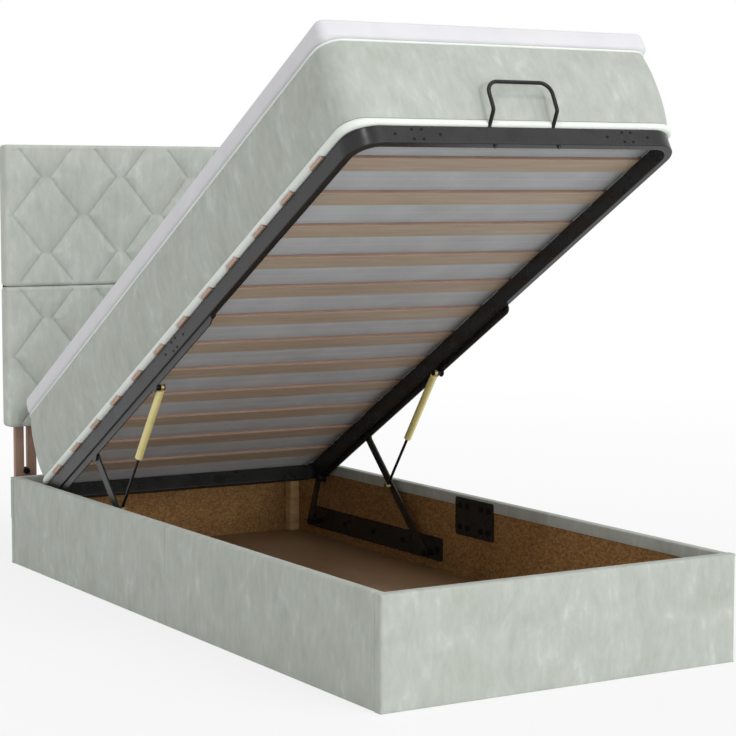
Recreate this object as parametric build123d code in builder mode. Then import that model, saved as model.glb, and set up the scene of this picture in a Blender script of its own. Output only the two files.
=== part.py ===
from build123d import *

import os
from math import atan2, cos, degrees, hypot, radians, sin

# Ottoman bed for a 90 by 200 cm mattress, standing open as it does to be filled.
# Millimetres, +Z up, +Y towards the headboard, +X to the right seen from the foot.
# The origin is on the floor, at the middle of the whole bed's length and width.
# The sleeping platform is drawn on its own tilted plane. There "u" runs from the
# mattress's head end to its foot, and "w" rises from the top of its bottom piping.

os.makedirs("parts", exist_ok=True)

overrun = 5
slip = 0.3
running_clearance = 0.05

# Storage box
side_margin = 32.5
closed_head_gap = 11
closed_foot_gap = 8
box_height = 250
panel_thickness = 18
cover_thickness = 5
foot_cover_thickness = 8
cover_under = 2
cover_edge_radius = 4
seam_gap = 1
flap_thickness = 2
flap_drop = 30
ledge_size = 20
floor_thickness = 4
floor_clearance = 1
beam_width = 60
corner_block_size = 30
corner_block_top = 200
joint_plate_length = 180
joint_plate_bottom = 140
joint_plate_top = 243
joint_plate_thickness = 3
joint_plate_corner = 6

# Headboard
headboard_overhang = 3
headboard_top = 1202
headboard_bottom = 392
headboard_depth = 46
headboard_forward = 4
headboard_corner = 8
pad_front = 11
pad_side = 5
pad_edge_radius = 7
board_thickness = 15
back_cover_thickness = 3
lath_width = 60
diamond_half_width = 116.7
diamond_half_height = 109
diamond_gap = 28
diamond_rows = 2
channel_width = 12
channel_depth = 6
channel_edge_gap = 14
post_width = 64
post_thickness = 16
post_inset = 29
post_bottom = 110
post_top = 1150
post_screw_inset = 60
post_screw_bite = 10
slot_width = 12
slot_top = 402
height_bolt_height = 261
height_bolt_radius = 5
height_bolt_head_radius = 9
height_bolt_head = 6
guide_wall = 3
guide_play = 0.6
guide_bottom = 130
guide_top = 240
guide_flange = 20
guide_tongue_width = 30

# Platform: frame, slats and mattress
open_angle = 29.64
slide_to_foot = 107
open_drop = 25.5
rim_clearance = 2
frame_side_inset = 5
frame_head_inset = 13
frame_foot_overhang = 7
frame_foot_corner = 70
frame_head_corner = 40
tube_height = 43
tube_width = 20
tube_wall = 1.5
tube_edge_radius = 2.5
splice_gap = 0.4
foot_splice_offset = 280
side_splice_u = 980
spigot_length = 60
spigot_wall = 2
splice_pitch = 24
splice_reach = 57
splice_screw_radius = 2.2
splice_screw_head_radius = 3.2
splice_screw_head = 1
slat_count = 12
slat_width = 56
slat_thickness = 8
slat_first_u = 136
slat_foot_gap = 160
slat_edge_radius = 2
rivet_radius = 2.5
piping_height = 14
piping_bulge = 1.5
mattress_width = 880
mattress_length = 1981
mattress_thickness = 209
mattress_corner = 50
border_thickness = 8
border_bulge = 7
top_cord_radius = 2.5
topper_overhang = 2.5
topper_thickness = 57
topper_head_inset = 15
topper_corner = 20
topper_edge_radius = 15

# Pull handle at the foot
handle_rod_radius = 4.5
handle_half_width = 85
handle_stand_off = 27
handle_leg_rise = 24
handle_top_w = 74
handle_lean = 4
handle_tail = 6
handle_elbow_radius = 12
handle_corner_radius = 28

# Lifting linkage
rail_height = 20
rail_lug_radius = 12
rail_foot_corner = 16
rail_thickness = 3
rail_inset = 4
rail_head_u = 30
rail_foot_u = 1186
rail_bolt_inset = 7
rail_bolt_radius = 3
rail_bolt_head_radius = 5.5
rail_bolt_head = 3
pivot_drop_w = 83
arm_pivot_u = 374
link_pivot_u = 68
spring_pivot_u = 812
arm_reach = 411
link_reach = 128
arm_width = 25
arm_thickness = 5
link_width = 25
spring_pin_share = 0.43
base_rail_bottom = 50
base_rail_top = 115
base_rail_thickness = 3
base_rail_overhang = 55
pivot_radius = 5
pivot_head_radius = 9
pivot_head = 3
plate_gap = 1.5
spring_side_gap = 1.5
spring_tube_radius = 10
spring_tube_bore = 8.5
spring_tube_cap = 10
spring_rod_radius = 4
spring_eye_radius = 8
spring_eye_width = 8
spring_pin_radius = 4
spring_neck_radius = 3.5
spring_end_gap = 1.5
spring_rod_showing = 18
piston_length = 20

# Screws and bolts in the box
bolt_head_radius = 8
bolt_head = 3
bolt_shank_radius = 3
bolt_shank = 15
screw_edge = 22
screw_second = 58

# Levels and faces worked out from the sizes above
side_wall = cover_thickness + panel_thickness + flap_thickness
foot_wall = foot_cover_thickness + panel_thickness + flap_thickness
frame_width = mattress_width - 2 * frame_side_inset
frame_foot_u = mattress_length + frame_foot_overhang
frame_length = frame_foot_u - frame_head_inset
box_width = mattress_width + 2 * side_margin
box_length = side_wall + closed_head_gap + frame_foot_u + closed_foot_gap + foot_wall
headboard_width = box_width + 2 * headboard_overhang
slat_length = mattress_width
slat_pitch = (mattress_length - slat_first_u - slat_foot_gap) / (slat_count - 1)
topper_width = mattress_width + 2 * topper_overhang
topper_length = mattress_length - topper_head_inset
overall_length = box_length + headboard_depth - headboard_forward
foot_face = -overall_length / 2
box_rear = foot_face + box_length
box_middle = foot_face + box_length / 2
box_half = box_width / 2
foot_inner = foot_face + foot_wall
head_inner = box_rear - side_wall
side_inner = box_half - side_wall
side_panel_inner = box_half - cover_thickness - panel_thickness
floor_top = cover_under + ledge_size + floor_thickness

slat_top_w = -piping_height
frame_top_w = slat_top_w - slat_thickness
frame_bottom_w = frame_top_w - tube_height
rail_bottom_w = frame_bottom_w - rail_height
mattress_top_w = slat_top_w + mattress_thickness
pivot_w = -pivot_drop_w

frame_half = frame_width / 2
web_face = frame_half - rail_inset - rail_thickness
arm_plane = web_face - plate_gap - arm_thickness / 2
link_plane = frame_half - tube_width - plate_gap - arm_thickness / 2
spring_plane = arm_plane - arm_thickness / 2 - spring_side_gap - spring_tube_radius

closed_head_y = head_inner - closed_head_gap
closed_head_z = box_height + rim_clearance - frame_top_w
open_head_y = closed_head_y - slide_to_foot
open_head_z = closed_head_z - open_drop

platform = Plane(
    origin=(0, open_head_y, open_head_z),
    x_dir=(1, 0, 0),
    z_dir=(0, sin(radians(open_angle)), cos(radians(open_angle))),
)
sides = {"left": -1, "right": 1}


def open_point(u, w):
    """World (y, z) of a platform point with the bed open, as it is drawn."""
    lean = radians(open_angle)
    return (
        open_head_y - u * cos(lean) + w * sin(lean),
        open_head_z + u * sin(lean) + w * cos(lean),
    )


def closed_point(u, w):
    """World (y, z) of the same point with the bed closed."""
    return (closed_head_y - u, closed_head_z + w)


def base_pivot(u, reach):
    """The fixed pivot of an arm whose top pivot is at u on the platform's rail."""
    start = closed_point(u, pivot_w)
    end = open_point(u, pivot_w)
    chord = (end[0] - start[0], end[1] - start[1])
    length = hypot(*chord)
    middle = ((start[0] + end[0]) / 2, (start[1] + end[1]) / 2)
    return (middle[0] - reach * chord[1] / length, middle[1] + reach * chord[0] / length)


def direction(start, end):
    """Angle in degrees of the line from start to end, from +Y towards +Z."""
    return degrees(atan2(end[1] - start[1], end[0] - start[0]))


def along(start, end, share):
    return (start[0] + (end[0] - start[0]) * share, start[1] + (end[1] - start[1]) * share)


arm_base = base_pivot(arm_pivot_u, arm_reach)
link_base = base_pivot(link_pivot_u, link_reach)
arm_top = open_point(arm_pivot_u, pivot_w)
link_top = open_point(link_pivot_u, pivot_w)
spring_top = open_point(spring_pivot_u, pivot_w)
spring_foot = along(arm_top, arm_base, spring_pin_share)
arm_top_closed = closed_point(arm_pivot_u, pivot_w)
link_top_closed = closed_point(link_pivot_u, pivot_w)
spring_top_closed = closed_point(spring_pivot_u, pivot_w)
spring_foot_closed = along(arm_top_closed, arm_base, spring_pin_share)
spring_open_length = hypot(spring_foot[0] - spring_top[0], spring_foot[1] - spring_top[1])
spring_closed_length = hypot(
    spring_foot_closed[0] - spring_top_closed[0],
    spring_foot_closed[1] - spring_top_closed[1],
)
spring_stroke = spring_open_length - spring_closed_length
spring_collar = spring_eye_radius + spring_end_gap
spring_tube_end = spring_closed_length - spring_collar - spring_rod_showing


def across(side, near, far):
    """The X range between two distances from the middle, on one side of the bed."""
    return tuple(sorted((side * near, side * far)))


def block(x_range, y_range, z_range, mode=Mode.ADD):
    low, high = zip(x_range, y_range, z_range)
    size = [b - a for a, b in zip(low, high)]
    with Locations(tuple((a + b) / 2 for a, b in zip(low, high))):
        Box(*size, mode=mode)


def rod_across(x_range, y, z, radius, mode=Mode.ADD):
    with Locations(Location((sum(x_range) / 2, y, z), (0, 90, 0))):
        Cylinder(radius, x_range[1] - x_range[0], mode=mode)


def rod_along(x, y_range, z, radius, mode=Mode.ADD):
    with Locations(Location((x, sum(y_range) / 2, z), (90, 0, 0))):
        Cylinder(radius, y_range[1] - y_range[0], mode=mode)


def keep(piece, node):
    piece.label = node
    export_step(piece, f"parts/{node}.step")


# Screws in the box: where they stand, and their shanks, which also cut their holes
rail_face = side_panel_inner - base_rail_thickness
plate_face = side_inner - joint_plate_thickness
plate_rows = (joint_plate_bottom + screw_edge, joint_plate_top - screw_edge)
plate_columns = [
    box_middle + sign * (joint_plate_length / 2 - inset)
    for sign in (-1, 1)
    for inset in (screw_edge, screw_second)
]
rail_middle = (base_rail_bottom + base_rail_top) / 2
rail_start = arm_base[0] - base_rail_overhang
rail_end = link_base[0] + base_rail_overhang
rail_screw_shares = (0.03, 0.28, 0.5, 0.72, 0.97)
rail_screw_places = [rail_start + (rail_end - rail_start) * share for share in rail_screw_shares]


def panel_screw_shanks(mode=Mode.ADD):
    for side in sides.values():
        for y in plate_columns:
            for z in plate_rows:
                reach = across(side, plate_face, plate_face + bolt_shank)
                rod_across(reach, y, z, bolt_shank_radius, mode=mode)
        for y in rail_screw_places:
            reach = across(side, rail_face, rail_face + bolt_shank)
            rod_across(reach, y, rail_middle, bolt_shank_radius, mode=mode)


# Side panels: two boards on each side, butted at mid-length
side_start = foot_face + foot_cover_thickness + panel_thickness
side_end = box_rear - cover_thickness - panel_thickness
halves = {
    "foot": (side_start, box_middle - seam_gap / 2),
    "head": (box_middle + seam_gap / 2, side_end),
}
panel_top = box_height - cover_thickness
for side_name, side in sides.items():
    for half_name, y_range in halves.items():
        with BuildPart() as side_panel:
            block(
                across(side, side_panel_inner, box_half - cover_thickness),
                y_range,
                (cover_under, panel_top),
            )
            panel_screw_shanks(mode=Mode.SUBTRACT)
        keep(side_panel.part, f"side_panel_{side_name}_{half_name}")

# Velvet over a thin pad on the side panels, with its flap turned down inside
for side_name, side in sides.items():
    for half_name, y_range in halves.items():
        with BuildPart() as side_cover:
            block(across(side, side_inner, box_half), y_range, (0, box_height))
            rim = side_cover.edges().filter_by(Axis.Y).group_by(Axis.Z)[-1]
            fillet(rim, cover_edge_radius)
            seam = side_cover.faces().sort_by(Axis.Y)[-1 if half_name == "foot" else 0]
            outer_edge = seam.edges().filter_by(Axis.Z).sort_by(Axis.X)[-1 if side > 0 else 0]
            fillet(outer_edge, cover_edge_radius / 2)
            block(
                across(side, side_panel_inner, box_half - cover_thickness),
                (y_range[0] - overrun, y_range[1] + overrun),
                (cover_under, panel_top),
                mode=Mode.SUBTRACT,
            )
            block(
                across(side, side_inner - overrun, side_panel_inner),
                (y_range[0] - overrun, y_range[1] + overrun),
                (-overrun, box_height - flap_drop),
                mode=Mode.SUBTRACT,
            )
            panel_screw_shanks(mode=Mode.SUBTRACT)
        keep(side_cover.part, f"side_cover_{side_name}_{half_name}")

# Foot and head panels run the full width, over the ends of the side panels
end_panel_half = box_half - cover_thickness
post_x = headboard_width / 2 - post_inset - post_width / 2
guide_half = post_width / 2 + guide_play + guide_wall


def guide_screw_shanks(mode=Mode.ADD):
    """Shanks of the screws that hold the post guides to the head panel."""
    for side in sides.values():
        for foot in (-1, 1):
            x = side * post_x + foot * (guide_half + guide_flange / 2)
            for z in (guide_bottom + screw_edge, guide_top - screw_edge):
                reach = (box_rear + guide_wall - bolt_shank, box_rear + guide_wall)
                rod_along(x, reach, z, bolt_shank_radius, mode=mode)


with BuildPart() as foot_panel:
    block(
        (-end_panel_half, end_panel_half),
        (foot_face + foot_cover_thickness, foot_face + foot_cover_thickness + panel_thickness),
        (cover_under, panel_top),
    )
keep(foot_panel.part, "foot_panel")

with BuildPart() as head_panel:
    block(
        (-end_panel_half, end_panel_half),
        (box_rear - cover_thickness - panel_thickness, box_rear - cover_thickness),
        (cover_under, panel_top),
    )
    guide_screw_shanks(mode=Mode.SUBTRACT)
keep(head_panel.part, "head_panel")


def end_cover(y_outer, y_inner, cover):
    """Velvet cover of the foot or head panel, wrapped round its ends and its rim."""
    inwards = 1 if y_inner > y_outer else -1
    panel_outer = y_outer + inwards * cover
    panel_inner = panel_outer + inwards * panel_thickness
    with BuildPart() as cover_shell:
        block((-box_half, box_half), sorted((y_outer, y_inner)), (0, box_height))
        outside = cover_shell.faces().sort_by(Axis.Y)[0 if inwards > 0 else -1]
        fillet(outside.edges().filter_by(Axis.Z), cover_edge_radius)
        top = cover_shell.faces().sort_by(Axis.Z)[-1]
        fillet(top.edges(), cover_edge_radius / 2)
        block(
            (-end_panel_half, end_panel_half),
            sorted((panel_outer, panel_inner)),
            (cover_under, panel_top),
            mode=Mode.SUBTRACT,
        )
        block(
            (-box_half - overrun, box_half + overrun),
            sorted((panel_inner, y_inner + inwards * overrun)),
            (-overrun, box_height - flap_drop),
            mode=Mode.SUBTRACT,
        )
        for side in sides.values():
            block(
                across(side, side_inner - slip, box_half + overrun),
                sorted((panel_inner, y_inner + inwards * overrun)),
                (-overrun, box_height + overrun),
                mode=Mode.SUBTRACT,
            )
        guide_screw_shanks(mode=Mode.SUBTRACT)
    return cover_shell.part


keep(end_cover(foot_face, foot_inner, foot_cover_thickness), "foot_cover")
keep(end_cover(box_rear, head_inner, cover_thickness), "head_cover")

# Steel plates that join the two halves of each side, over the velvet flap
with BuildPart() as joint_plates:
    for side in sides.values():
        block(
            across(side, side_inner - joint_plate_thickness, side_inner),
            (box_middle - joint_plate_length / 2, box_middle + joint_plate_length / 2),
            (joint_plate_bottom, joint_plate_top),
        )
    fillet(joint_plates.edges().filter_by(Axis.X), joint_plate_corner)
    panel_screw_shanks(mode=Mode.SUBTRACT)
keep(joint_plates.part, "joint_plates")

# Corner blocks, ledges, beam and floor boards
floor_inner = side_panel_inner
ledge_z = (cover_under, cover_under + ledge_size)
foot_inside = foot_face + foot_cover_thickness + panel_thickness
head_inside = box_rear - cover_thickness - panel_thickness
with BuildPart() as corner_blocks:
    for side in sides.values():
        for y_range in (
            (foot_inside, foot_inside + corner_block_size),
            (head_inside - corner_block_size, head_inside),
        ):
            block(
                across(side, floor_inner - corner_block_size, floor_inner),
                y_range,
                (floor_top, corner_block_top),
            )
keep(corner_blocks.part, "corner_blocks")

with BuildPart() as floor_battens:
    beam_range = (box_middle - beam_width / 2, box_middle + beam_width / 2)
    for y_range in (
        (foot_inside, foot_inside + ledge_size),
        beam_range,
        (head_inside - ledge_size, head_inside),
    ):
        block((-floor_inner, floor_inner), y_range, ledge_z)
    for y_range in (
        (foot_inside + ledge_size + slip, beam_range[0] - slip),
        (beam_range[1] + slip, head_inside - ledge_size - slip),
    ):
        for side in sides.values():
            block(across(side, floor_inner - ledge_size, floor_inner), y_range, ledge_z)
keep(floor_battens.part, "floor_battens")

for half_name, y_range in {
    "foot": (foot_inside + floor_clearance, box_middle - floor_clearance / 2),
    "head": (box_middle + floor_clearance / 2, head_inside - floor_clearance),
}.items():
    with BuildPart() as floor_board:
        block(
            (-floor_inner + floor_clearance, floor_inner - floor_clearance),
            y_range,
            (ledge_z[1], floor_top),
        )
    keep(floor_board.part, f"floor_board_{half_name}")

# Base rails on the side panels, which carry the fixed pivots of the linkage
for side_name, side in sides.items():
    with BuildPart() as base_rail:
        block(
            across(side, rail_face, side_panel_inner),
            (rail_start, rail_end),
            (base_rail_bottom, base_rail_top),
        )
        fillet(base_rail.edges().filter_by(Axis.X), joint_plate_corner)
        panel_screw_shanks(mode=Mode.SUBTRACT)
    keep(base_rail.part, f"base_rail_{side_name}")


def pivot_pin(side, y, z, wall, plate, thickness, radius, head_radius):
    """A collar from the wall to the plate, a shank through the plate and a head inside."""
    outer = plate + thickness / 2
    inner = plate - thickness / 2
    rod_across(across(side, outer + slip, wall), y, z, head_radius)
    rod_across(across(side, inner - slip, outer + slip), y, z, radius)
    rod_across(across(side, inner - slip - pivot_head, inner - slip), y, z, head_radius)


with BuildPart() as base_pivot_pins:
    for side in sides.values():
        pivot_pin(
            side, *arm_base, rail_face, arm_plane, arm_thickness, pivot_radius, pivot_head_radius
        )
        pivot_pin(
            side, *link_base, rail_face, link_plane, arm_thickness, pivot_radius, pivot_head_radius
        )
keep(base_pivot_pins.part, "base_pivot_pins")

with BuildPart() as panel_screws:
    panel_screw_shanks()
    guide_screw_shanks()
    for side in sides.values():
        for y in plate_columns:
            for z in plate_rows:
                rod_across(across(side, plate_face - bolt_head, plate_face), y, z, bolt_head_radius)
        for y in rail_screw_places:
            reach = across(side, rail_face - bolt_head, rail_face)
            rod_across(reach, y, rail_middle, bolt_head_radius)
        for foot in (-1, 1):
            x = side * post_x + foot * (guide_half + guide_flange / 2)
            for z in (guide_bottom + screw_edge, guide_top - screw_edge):
                reach = (box_rear + guide_wall, box_rear + guide_wall + bolt_head)
                rod_along(x, reach, z, bolt_head_radius)
keep(panel_screws.part, "panel_screws")

# Headboard: two padded panels on boards, carried by two slotted posts
headboard_half = headboard_width / 2
pad_face = box_rear - headboard_forward
board_face = pad_face + pad_front
post_face = board_face + board_thickness
post_back = post_face + post_thickness
headboard_back = pad_face + headboard_depth
headboard_middle = (headboard_top + headboard_bottom) / 2
slot_bottom = height_bolt_height - slot_width / 2
post_screw_heights = [
    height + sign * post_screw_inset
    for height, sign in ((headboard_bottom, 1), (headboard_middle, -1), (headboard_middle, 1))
]


def post_screw_shanks(mode=Mode.ADD):
    """Shanks of the screws that go through the posts into the headboard's boards."""
    for side in sides.values():
        for z in post_screw_heights:
            reach = (post_face - post_screw_bite, post_back)
            rod_along(side * post_x, reach, z, bolt_shank_radius, mode=mode)


def channel(start, end):
    """A V-shaped sewn channel in the pad's face, from one (x, z) point to another."""
    length = hypot(end[0] - start[0], end[1] - start[1])
    line = Vector((end[0] - start[0]) / length, 0, (end[1] - start[1]) / length)
    mouth = channel_width / 2 * (1 + overrun / channel_depth)
    across_line = Plane(origin=(start[0], pad_face, start[1]), x_dir=(0, 1, 0), z_dir=line)
    with BuildSketch(across_line) as section:
        Polygon((channel_depth, 0), (-overrun, mouth), (-overrun, -mouth), align=None)
    extrude(section.sketch, amount=length, mode=Mode.SUBTRACT)


def clipped(shares, start, end, limit_low, limit_high):
    """Narrow a pair of shares so that the way from start to end keeps to the limits."""
    reaches = sorted(((limit_low - start) / (end - start), (limit_high - start) / (end - start)))
    return max(shares[0], reaches[0]), min(shares[1], reaches[1])


def diamond_channels(z_bottom, z_top):
    """Sewn zigzags up one panel, side by side, whose bends face each other over a gap."""
    centre = (z_bottom + z_top) / 2
    columns = int(headboard_half // diamond_half_width) + 1
    line_length = hypot(diamond_half_width - diamond_gap, diamond_half_height)
    edge_x = headboard_half - channel_edge_gap
    for row in range(-diamond_rows, diamond_rows):
        for column in range(-columns, columns):
            rising = (row + column) % 2 == 0
            left = (
                diamond_half_width * column + diamond_gap / 2,
                centre + diamond_half_height * (row if rising else row + 1),
            )
            right = (
                diamond_half_width * (column + 1) - diamond_gap / 2,
                centre + diamond_half_height * (row + 1 if rising else row),
            )
            shares = clipped((0, 1), left[0], right[0], -edge_x, edge_x)
            shares = clipped(
                shares, left[1], right[1], z_bottom + channel_edge_gap, z_top - channel_edge_gap
            )
            if (shares[1] - shares[0]) * line_length > channel_width:
                channel(along(left, right, shares[0]), along(left, right, shares[1]))


def headboard_pad(z_bottom, z_top):
    """One padded panel: channelled front, sides drawn round the board, open at the back."""
    with BuildPart() as pad:
        block(
            (-headboard_half, headboard_half),
            (pad_face, headboard_back - back_cover_thickness),
            (z_bottom, z_top),
        )
        fillet(pad.edges().filter_by(Axis.Y), headboard_corner)
        front = pad.faces().sort_by(Axis.Y)[0]
        fillet(front.edges(), pad_edge_radius)
        diamond_channels(z_bottom, z_top)
        block(
            (-headboard_half + pad_side, headboard_half - pad_side),
            (board_face, headboard_back + overrun),
            (z_bottom + pad_side, z_top - pad_side),
            mode=Mode.SUBTRACT,
        )
        for side in sides.values():
            block(
                across(
                    side, post_x - post_width / 2 - slip, post_x + post_width / 2 + slip
                ),
                (post_face - slip, headboard_back + overrun),
                (headboard_bottom - overrun, min(z_top + overrun, post_top)),
                mode=Mode.SUBTRACT,
            )
    return pad.part


panels = {
    "upper": (headboard_middle + seam_gap / 2, headboard_top),
    "lower": (headboard_bottom, headboard_middle - seam_gap / 2),
}
for panel_name, (z_bottom, z_top) in panels.items():
    keep(headboard_pad(z_bottom, z_top), f"headboard_pad_{panel_name}")
    with BuildPart() as headboard_board:
        block(
            (-headboard_half + pad_side, headboard_half - pad_side),
            (board_face, post_face),
            (z_bottom + pad_side, z_top - pad_side),
        )
        post_screw_shanks(mode=Mode.SUBTRACT)
    keep(headboard_board.part, f"headboard_board_{panel_name}")

with BuildPart() as headboard_laths:
    for z_bottom, z_top in panels.values():
        for z_range in (
            (z_bottom + pad_side, z_bottom + pad_side + lath_width),
            (z_top - pad_side - lath_width, z_top - pad_side),
        ):
            inner_reach = post_x - post_width / 2 - slip
            block((-inner_reach, inner_reach), (post_face, post_back), z_range)
keep(headboard_laths.part, "headboard_laths")

with BuildPart() as headboard_back_cover:
    block(
        (-headboard_half, headboard_half),
        (headboard_back - back_cover_thickness, headboard_back),
        (headboard_bottom, headboard_top),
    )
    fillet(headboard_back_cover.edges().filter_by(Axis.Y), headboard_corner)
keep(headboard_back_cover.part, "headboard_back_cover")

for side_name, side in sides.items():
    with BuildPart() as headboard_post:
        block(
            across(side, post_x - post_width / 2, post_x + post_width / 2),
            (post_face, post_back),
            (post_bottom, post_top),
        )
        block(
            across(side, post_x - slot_width / 2, post_x + slot_width / 2),
            (post_face - overrun, post_back + overrun),
            (slot_bottom, slot_top),
            mode=Mode.SUBTRACT,
        )
        through_edges = headboard_post.edges().filter_by(Axis.Y)
        rounding = [e for e in through_edges if abs(abs(e.center().X) - post_x) < slot_width]
        fillet(rounding, slot_width / 2 - slip)
        post_screw_shanks(mode=Mode.SUBTRACT)
    keep(headboard_post.part, f"headboard_post_{side_name}")

with BuildPart() as post_screws:
    post_screw_shanks()
    for side in sides.values():
        for z in post_screw_heights:
            reach = (post_back, headboard_back - back_cover_thickness)
            rod_along(side * post_x, reach, z, bolt_head_radius)
keep(post_screws.part, "post_screws")

# Steel guides behind the head panel, in which the posts slide, and their clamp bolts
guide_back = post_back + guide_play + guide_wall
tongue_face = guide_back - guide_wall
with BuildPart() as post_guides:
    for side in sides.values():
        block(
            across(side, post_x - guide_half, post_x + guide_half),
            (box_rear, guide_back),
            (guide_bottom, guide_top),
        )
        block(
            across(side, post_x - guide_half + guide_wall, post_x + guide_half - guide_wall),
            (box_rear + guide_wall, post_face - guide_play - guide_wall),
            (guide_bottom - overrun, guide_top + overrun),
            mode=Mode.SUBTRACT,
        )
        block(
            across(side, post_x - guide_half + guide_wall, post_x + guide_half - guide_wall),
            (post_face - guide_play, post_back + guide_play),
            (guide_bottom - overrun, guide_top + overrun),
            mode=Mode.SUBTRACT,
        )
        block(
            across(side, post_x - guide_tongue_width / 2, post_x + guide_tongue_width / 2),
            (tongue_face, guide_back),
            (guide_top, height_bolt_height + height_bolt_head_radius),
        )
        for foot in (-1, 1):
            centre = post_x + foot * (guide_half + guide_flange / 2)
            block(
                across(side, centre - guide_flange / 2, centre + guide_flange / 2),
                (box_rear, box_rear + guide_wall),
                (guide_bottom, guide_top),
            )
    guide_screw_shanks(mode=Mode.SUBTRACT)
keep(post_guides.part, "post_guides")

with BuildPart() as height_bolts:
    for side in sides.values():
        x = side * post_x
        rod_along(
            x,
            (post_face - slip - height_bolt_head, post_face - slip),
            height_bolt_height,
            height_bolt_head_radius,
        )
        rod_along(x, (post_face - slip, tongue_face), height_bolt_height, height_bolt_radius)
keep(height_bolts.part, "height_bolts")

# Platform frame: a rectangular ring of steel tube in six lengths, spliced with spigots
frame_centre_y = -(frame_head_inset + frame_foot_u) / 2
tube_half = frame_half - tube_width / 2
handle_y = tube_wall + handle_rod_radius + slip - frame_foot_u
handle_leg_w = frame_top_w + handle_rod_radius - slip
handle_knee_y = -frame_foot_u - handle_stand_off

with BuildPart() as pull_handle:
    with BuildLine(platform) as handle_path:
        handle_points = []
        for x in (-handle_half_width, handle_half_width):
            leg = [
                (x, handle_y, frame_bottom_w - handle_tail),
                (x, handle_y, handle_leg_w),
                (x, handle_knee_y, handle_leg_w + handle_leg_rise),
                (x, handle_knee_y - handle_lean, handle_top_w),
            ]
            handle_points += leg if x < 0 else leg[::-1]
        bends = [handle_elbow_radius] * 2 + [handle_corner_radius] * 2 + [handle_elbow_radius] * 2
        FilletPolyline(*handle_points, radius=bends)
    with BuildSketch(Plane(origin=handle_path.line @ 0, z_dir=handle_path.line % 0)):
        Circle(handle_rod_radius)
    sweep(path=handle_path.line)
keep(pull_handle.part, "pull_handle")


def ring_outline(inset, mode=Mode.ADD):
    """The frame's outline, smaller all round by inset."""
    with BuildSketch(mode=Mode.PRIVATE) as outline:
        Rectangle(frame_width - 2 * inset, frame_length - 2 * inset)
        fillet(outline.vertices().group_by(Axis.Y)[0], frame_foot_corner - inset)
        fillet(outline.vertices().group_by(Axis.Y)[-1], frame_head_corner - inset)
    add(outline.sketch, mode=mode)


def tube_ring():
    """The whole ring of hollow tube, from which each length is cut."""
    for inset, mode in ((0, Mode.ADD), (tube_wall, Mode.SUBTRACT)):
        with BuildSketch(platform.offset(frame_bottom_w + inset)) as ring:
            with Locations((0, frame_centre_y)):
                ring_outline(inset)
                ring_outline(tube_width - inset, mode=Mode.SUBTRACT)
        extrude(ring.sketch, amount=tube_height - 2 * inset, mode=mode)
        if mode == Mode.ADD:
            rims = edges().group_by(Axis(origin=(0, 0, 0), direction=platform.z_dir))
            fillet(rims[0] + rims[-1], tube_edge_radius)


tube_middle_w = (frame_top_w + frame_bottom_w) / 2
spigot_rise = tube_height / 2 - tube_wall


def spigot(x_range, y_range, loose, mode=Mode.ADD):
    """A hollow spigot, filling its own tube or loose in the next one."""
    play = slip if loose else 0
    flat_x = x_range[1] - x_range[0] > tube_width
    for inset, this_mode in ((play, mode), (play + spigot_wall, Mode.SUBTRACT)):
        w_range = (tube_middle_w - spigot_rise + inset, tube_middle_w + spigot_rise - inset)
        if flat_x:
            block(x_range, (y_range[0] + inset, y_range[1] - inset), w_range, mode=this_mode)
        else:
            block((x_range[0] + inset, x_range[1] - inset), y_range, w_range, mode=this_mode)


def splice_shanks(mode=Mode.ADD, head=0):
    """Screws of the splices: four round each seam and one beyond on each side."""
    places = [(a, b) for a in (-0.5, 0.5) for b in (-0.5, 0.5)]
    radius = splice_screw_head_radius if head else splice_screw_radius
    depth = tube_wall + slip + spigot_wall
    for side in sides.values():
        offsets = [(splice_pitch * a, splice_pitch * b) for a, b in places]
        offsets += [(-splice_reach, 0), (splice_reach, 0)]
        for shift, rise in offsets:
            w = tube_middle_w + rise
            for face, out in ((-frame_foot_u, -1), (-frame_head_inset, 1)):
                reach = sorted((face + out * head, face if head else face - out * depth))
                rod_along(side * foot_splice_offset + shift, reach, w, radius, mode=mode)
            near = frame_half if head else frame_half - depth
            reach = across(side, near, frame_half + head)
            rod_across(reach, -side_splice_u + shift, w, radius, mode=mode)


def rail_bolt_shanks(mode=Mode.ADD):
    """Bolts that hold the lift rails under the side tubes."""
    depth = tube_wall + rail_thickness
    for side in sides.values():
        for share in rail_bolt_shares:
            y = -(rail_head_u + (rail_foot_u - rail_head_u) * share)
            with Locations((side * rail_bolt_x, y, frame_bottom_w + tube_wall - depth / 2)):
                Cylinder(rail_bolt_radius, depth, mode=mode)


def slat_rivet_shanks(mode=Mode.ADD):
    depth = slat_thickness + tube_wall
    for side in sides.values():
        for number in range(slat_count):
            y = -(slat_first_u + slat_pitch * number)
            with Locations((side * tube_half, y, slat_top_w - depth / 2)):
                Cylinder(rivet_radius, depth, mode=mode)


rail_bolt_x = frame_half - tube_width + rail_bolt_inset
rail_bolt_shares = (0.02, 0.16, 0.42, 0.78, 0.98)
foot_tube = (-frame_foot_u + tube_wall, -frame_foot_u + tube_width - tube_wall)
head_tube = (-frame_head_inset - tube_width + tube_wall, -frame_head_inset - tube_wall)
everywhere = box_length * 2

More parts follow.
